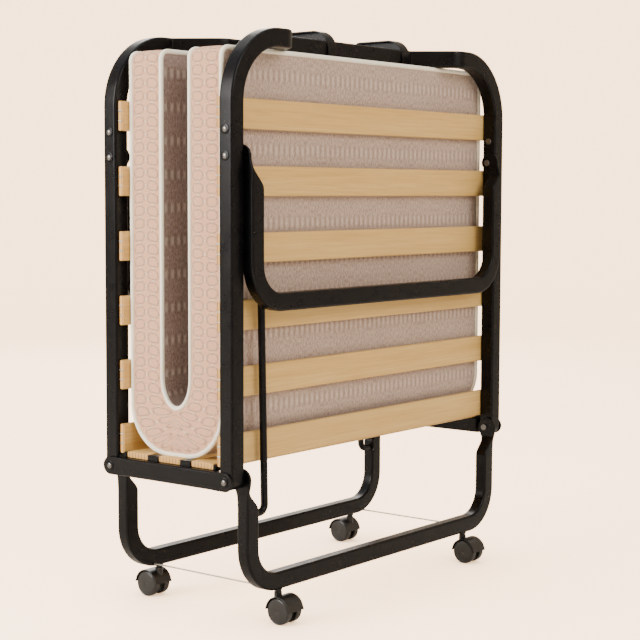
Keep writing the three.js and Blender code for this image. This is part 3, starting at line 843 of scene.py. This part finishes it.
outer_length = FLAT + ARC + MATTRESS_TOP - FLOOR_Z - FOLD_CORNER
OUTLINE_ROWS = 120
outline = plan_outline(outer_length, PLAN_CORNER)


def mattress_point(x, s, t):
    """A point of the mattress, from its place across, along and through."""
    return across_thickness(min(s / outer_length, 1), t) + X * x


def outline_normals():
    """The way out of the outline at each of its points, seen flat."""
    ways = []
    for i, (x, s) in enumerate(outline):
        before = outline[max(i - 1, 0)]
        after = outline[min(i + 1, len(outline) - 1)]
        way = Vector((after[0] - before[0], after[1] - before[1])).normalized()
        ways.append((-way.y, way.x))
    return ways


def along_way(s):
    """Which way the mattress runs at a distance from the fold's middle, in Y and Z."""
    step = 0.002
    ahead = mattress_point(0, min(s + step, outer_length), 0)
    behind = mattress_point(0, max(s - step, 0), 0)
    return (ahead - behind).normalized()


def border_strip(leaf, way):
    """The strip between the two pipings, crowned across its width."""
    columns = 14
    crown = 0.0035
    lines = []
    for j in range(columns + 1):
        t = (-1 + 2 * j / columns) * BORDER_SHARE
        push = crown * (1 - t ** 4)
        line = []
        for (x, s), (nx, ns) in zip(outline, outline_normals()):
            line.append(mattress_point(x, s, t) + X * nx * push + along_way(s) * ns * push)
        lines.append(line)
    width = (lines[-1][OUTLINE_ROWS] - lines[0][OUTLINE_ROWS]).length
    lengths = [running_length(line) for line in lines]
    vertices, uvs = [], []
    for i in range(len(outline)):
        for j in range(columns + 1):
            vertices.append(lines[j][i])
            uvs.append(((j / columns - 0.5) * width, lengths[j][i]))
    faces = grid_faces(len(outline) - 1, columns)
    vertices = half_turn(vertices, way)
    return add_piece(f"{leaf}_mattress_border", None, vertices, faces, BORDER, 70, uvs)


def running_length(line):
    """Each point's distance along a line, counted from the end of the mattress's left side."""
    total = 0
    lengths = [0]
    for before, here in zip(line, line[1:]):
        total += (here - before).length
        lengths.append(total)
    return [length - lengths[OUTLINE_ROWS] for length in lengths]


def face_sheet(leaf, way, t):
    """One face of the mattress, puffed inside its piping and pressed flat where the slats lie."""
    word = "outer" if t < 0 else "inner"
    rows, columns = 150, 60
    half = MATTRESS_WIDE / 2
    vertices, uvs = [], []
    for i in range(rows + 1):
        s = outer_length * i / rows
        for j in range(columns + 1):
            u = -1 + 2 * j / columns
            # Near the end the row shortens to follow the rounded corners.
            over = max(0, s - (outer_length - PLAN_CORNER)) / PLAN_CORNER
            reach = half - PLAN_CORNER * (1 - math.sqrt(max(0, 1 - over * over)))
            x = u * reach
            edge = min(reach - abs(x), outer_length - s)
            crown = FACE_CROWN * (smooth_step(edge / CROWN_REACH) - 0.35)
            p = mattress_point(x, s, t)
            out = mattress_point(x, s, -1) - mattress_point(x, s, 1)
            out = out.normalized() * (1 if t < 0 else -1)
            if t < 0:
                crown = min(crown, 0.0004)
            vertices.append(p + out * crown)
            uvs.append((x, s))
    faces = grid_faces(rows, columns)
    vertices = half_turn(vertices, way)
    # The inner face gets the darker copy of the cloth: painted shade in the slit.
    cloth = OUTER_FACE if t < 0 else SHADED_INNER_FACE
    return add_piece(f"{leaf}_mattress_{word}_face", None, vertices, faces, cloth, 70, uvs)


def piping(leaf, way, t):
    """The white cord sewn along an edge of the border strip."""
    word = "outer" if t < 0 else "inner"
    sides = 12
    centres = []
    for (x, s), (nx, ns) in zip(outline, outline_normals()):
        centre = mattress_point(x, s, t * PIPING_SHARE)
        centres.append(centre + X * nx * 0.001)
    vertices, uvs = [], []
    length = 0
    for i, (centre, (x, s), (nx, ns)) in enumerate(zip(centres, outline, outline_normals())):
        if i:
            length += (centre - centres[i - 1]).length
        through = (mattress_point(x, s, -1) - mattress_point(x, s, 1)).normalized()
        out = (X * nx + along_way(s) * ns).normalized()
        through = (through - out * through.dot(out)).normalized()
        for j in range(sides):
            angle = 2 * math.pi * j / sides
            vertices.append(centre + (out * math.cos(angle) + through * math.sin(angle)) * PIPING_RADIUS)
            uvs.append((PIPING_RADIUS * angle, length))
    faces = tube_faces(len(centres), sides)
    vertices = half_turn(vertices, way)
    return add_piece(f"{leaf}_mattress_{word}_piping", None, vertices, faces, PIPING, 80, uvs)


def mattress_half(leaf, way):
    """Joins a half's strip, faces and pipings into one piece."""
    parts = [border_strip(leaf, way)]
    for t in (-1, 1):
        parts.append(face_sheet(leaf, way, t))
        parts.append(piping(leaf, way, t))
    for part in parts:
        part.modifiers.clear()
    bpy.ops.object.select_all(action="DESELECT")
    for part in parts:
        part.select_set(True)
    bpy.context.view_layer.objects.active = parts[0]
    bpy.ops.object.join()
    piece = parts[0]
    piece.name = f"{leaf}_mattress"
    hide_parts(f"{leaf}_mattress_half")
    if leaf == "front":
        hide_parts("mattress_fold")
    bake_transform(piece)


# ---- casters --------------------------------------------------------------------------------
def caster(name, x_side, y_side):
    stem = Vector((x_side * (half_width - CASTER_X), y_side * (half_depth - MIDDLE_LEG_Y), 0))
    axle = stem + Vector((0, y_side * CASTER_TRAIL, WHEEL_RADIUS))
    body = f"{name}_caster_fork"
    full = WHEEL_SPACE / 2 + WHEEL_WIDE
    hood_shell(name, body, axle, full)
    neck = [(0, 0.040), (0.0072, 0.040), (0.0072, 0.0545), (0.0060, 0.0558), (0.0060, 0.0575),
            (0.0074, 0.0585), (0.0074, 0.0606), (0.0060, 0.0612), (0, 0.0612)]
    turned(f"{name}_caster_stem", body, neck, stem, Z, HOOD_PLASTIC, 28)
    block(name, body, axle)
    for word, side in (("outer", x_side), ("inner", -x_side)):
        wheel(name, word, axle, side)
    radius = 0.0034
    ends = full - 0.001
    shaft = [(0, -ends), (radius, -ends), (radius, ends), (0, ends)]
    pin = turned(f"{name}_caster_pin", f"{name}_caster_wheels", shaft, axle, X, WIRE, 20)
    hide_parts(f"{name}_caster_axle")


def hood_shell(name, body, axle, full):
    """The half-round cover over both wheels, with a small lip along its lower edges."""
    outer = WHEEL_RADIUS + 0.0029
    inner = WHEEL_RADIUS + 0.0009
    steps = 40
    edge = 0.0008
    rings = []
    for i in range(steps + 1):
        angle = math.pi * (0.02 + 0.96 * i / steps)
        out = Vector((0, math.cos(angle), math.sin(angle)))
        lip = 0.0008 if i in (0, 1, steps - 1, steps) else 0
        middle = axle + out * ((outer + inner + lip) / 2)
        rings.append(ring(Station(middle, X, out, full, (outer + lip - inner) / 2, edge)))
    piece = loft(f"{name}_caster_cover", body, rings, HOOD_PLASTIC, 50)
    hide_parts(f"{name}_caster_hood")


def block(name, body, axle):
    """The web between the wheels that carries the axle."""
    outline = []
    for i in range(25):
        angle = math.pi * (0.02 + 0.96 * i / 24)
        outline.append(Vector((0, math.cos(angle), math.sin(angle))) * (WHEEL_RADIUS + 0.001))
    for i in range(1, 12):
        angle = math.pi * (1 + i / 12)
        outline.append(Vector((0, math.cos(angle) * 0.010, math.sin(angle) * 0.010)))
    half = WHEEL_SPACE / 2 - 0.0022
    rings = []
    for x, shrink in ((-half, 0.96), (-half + 0.0008, 1), (half - 0.0008, 1), (half, 0.96)):
        rings.append([axle + X * x + p * shrink for p in outline])
    loft(f"{name}_caster_web", body, rings, HOOD_PLASTIC)


def wheel(name, word, axle, side):
    """A wheel with a flat-domed disc outside, a rim line, a rounded tread and a hollow back."""
    back = WHEEL_SPACE / 2
    front = back + WHEEL_WIDE
    r = WHEEL_RADIUS
    hollow = [(0.0040, back + 0.006), (r - 0.005, back + 0.006), (r - 0.0035, back)]
    back_edge = [(r - 0.0012, back), (r - 0.0003, back + 0.0008), (r, back + 0.0022)]
    front_edge = [(r, front - 0.0040), (r - 0.0004, front - 0.0026)]
    rim = [(r - 0.0014, front - 0.0014), (r - 0.0026, front - 0.0009), (r - 0.0034, front - 0.0013)]
    disc = [(r - 0.0042, front - 0.0008), (r * 0.5, front - 0.0002), (0.0042, front - 0.0001)]
    middle = [(0.0036, front - 0.0006), (0, front - 0.0006)]
    profile = hollow + back_edge + front_edge + rim + disc + middle
    body = f"{name}_caster_wheels"
    piece = turned(f"{name}_{word}_wheel_disc", body, profile, axle, X * side, WHEEL_PLASTIC, 64, 50)
    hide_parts(f"{name}_caster_{word}_wheel")


# ---- building it all ------------------------------------------------------------------------
for leaf, way in LEAVES:
    leaf_frame(leaf, way)
    for number in range(1, SLAT_COUNT + 1):
        slat(f"{leaf}_slat_{number}", f"{leaf}_leaf", Y)
    leg(f"{leaf}_middle_leg_tube", "base", f"{leaf}_middle_leg", way,
        -half_depth + MIDDLE_LEG_Y, HINGE_Z, MIDDLE_LEG_BOTTOM)
    leg(f"{leaf}_end_leg_tube", f"{leaf}_leg", f"{leaf}_end_leg", way,
        -half_depth + END_LEG_Y, LEG_PIVOT_Z, LEG_PIVOT_Z - END_LEG_DROP)
    link_rod(leaf, way)
    mattress_half(leaf, way)
    for word, side in SIDES:
        rivet(f"{leaf}_{word}_hinge_rivet", "base", False)
        rivet(f"{leaf}_{word}_leg_rivet", f"{leaf}_leaf", True)
        rivet(f"{leaf}_{word}_stop_rivet", f"{leaf}_leaf", False)
        caster(f"{leaf}_{word}", side, -way)

for number in range(1, 4):
    slat(f"middle_slat_{number}", "base", Z)

for word, side in SIDES:
    side_rail(word, side)
    slat_blocks(word, side)
    tie_wire(word)
    hoop(word)


# ---- floor, light and camera ----------------------------------------------------------------
def sweep_floor():
    """A pale floor that curves up into a backdrop all round, far from the cot."""
    flat, radius, high = 6.0, 2.0, 7.0
    profile = [(0.01, 0), (flat, 0)]
    for i in range(1, 13):
        angle = math.pi / 2 * i / 12
        profile.append((flat + radius * math.sin(angle), radius * (1 - math.cos(angle))))
    profile.append((flat + radius, high))
    sides = 96
    vertices = []
    for distance, z in profile:
        for i in range(sides):
            angle = 2 * math.pi * i / sides
            vertices.append((distance * math.cos(angle), distance * math.sin(angle), z))
    faces = tube_faces(len(profile), sides)
    faces.append(tuple(range(sides)))
    piece = add_piece("studio_floor", None, vertices, faces, PAPER, 80)


def area_light(name, at, target, size, power, tint=(1, 1, 1)):
    data = bpy.data.lights.new(name, "AREA")
    data.size = size
    data.energy = power
    data.color = tint
    lamp = bpy.data.objects.new(name, data)
    lamp.location = at
    lamp.rotation_euler = (Vector(target) - Vector(at)).to_track_quat("-Z", "Y").to_euler()
    bpy.context.scene.collection.objects.link(lamp)


def place_camera():
    yaw = math.radians(CAMERA_YAW)
    pitch = math.radians(CAMERA_PITCH)
    roll = math.radians(CAMERA_ROLL)
    level = math.cos(pitch)
    forward = Vector((math.sin(yaw) * level, math.cos(yaw) * level, -math.sin(pitch)))
    right = Vector((math.cos(yaw), -math.sin(yaw), 0))
    down = forward.cross(right)
    rolled_right = right * math.cos(roll) + down * math.sin(roll)
    rolled_down = down * math.cos(roll) - right * math.sin(roll)
    turn = Matrix((rolled_right, -rolled_down, -forward)).transposed()
    data = bpy.data.cameras.new("camera")
    data.lens = CAMERA_LENS
    data.sensor_width = 36
    data.shift_x, data.shift_y = CAMERA_SHIFT
    camera = bpy.data.objects.new("camera", data)
    camera.matrix_world = Matrix.Translation(CAMERA_AT) @ turn.to_4x4()
    bpy.context.scene.collection.objects.link(camera)
    bpy.context.scene.camera = camera


def light_world():
    world = bpy.data.worlds.new("studio")
    world.use_nodes = True
    background = world.node_tree.nodes["Background"]
    background.inputs[0].default_value = (1.0, 0.98, 0.96, 1)
    background.inputs[1].default_value = 0.75
    bpy.context.scene.world = world


sweep_floor()
area_light("key", (-0.6, -3.4, 2.6), (0, 0, 0.5), 2.2, 90, (1, 0.97, 0.93))
area_light("side", (-3.3, 1.3, 1.8), (0, 0, 0.5), 1.8, 215, (1, 0.98, 0.96))
area_light("back", (2.8, 3.2, 2.4), (0, 0, 0.5), 2.4, 90, (1, 0.98, 0.96))
area_light("top", (0.4, 0.6, 4.2), (0, 0, 0.4), 3.0, 60, (1, 0.98, 0.95))
place_camera()
light_world()
